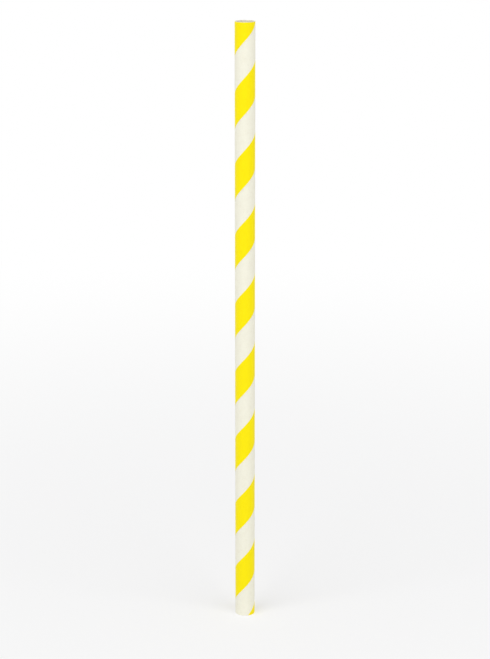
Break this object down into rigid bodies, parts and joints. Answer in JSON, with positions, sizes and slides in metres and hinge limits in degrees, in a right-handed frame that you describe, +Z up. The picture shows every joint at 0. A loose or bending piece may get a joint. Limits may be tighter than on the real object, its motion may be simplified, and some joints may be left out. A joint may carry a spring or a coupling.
{
  "type": "paper drinking straw",
  "caption": "Spiral-wound paper drinking straw: a straight thin-walled tube, open and cut square at both ends, that carries a drink from cup to mouth.",
  "frame": {"origin": "on the surface that the straw stands on, at the middle of its lower cut end", "axes": "+Z up along the straw's axis, -Y towards its front, +X to its right seen from the front"},
  "size_m": [0.0065, 0.0064, 0.2],
  "materials": {
    "printed_paper": "matte"
  },
  "bodies": {
    "root": {"straw": "printed_paper"}
  },
  "joints": []
}
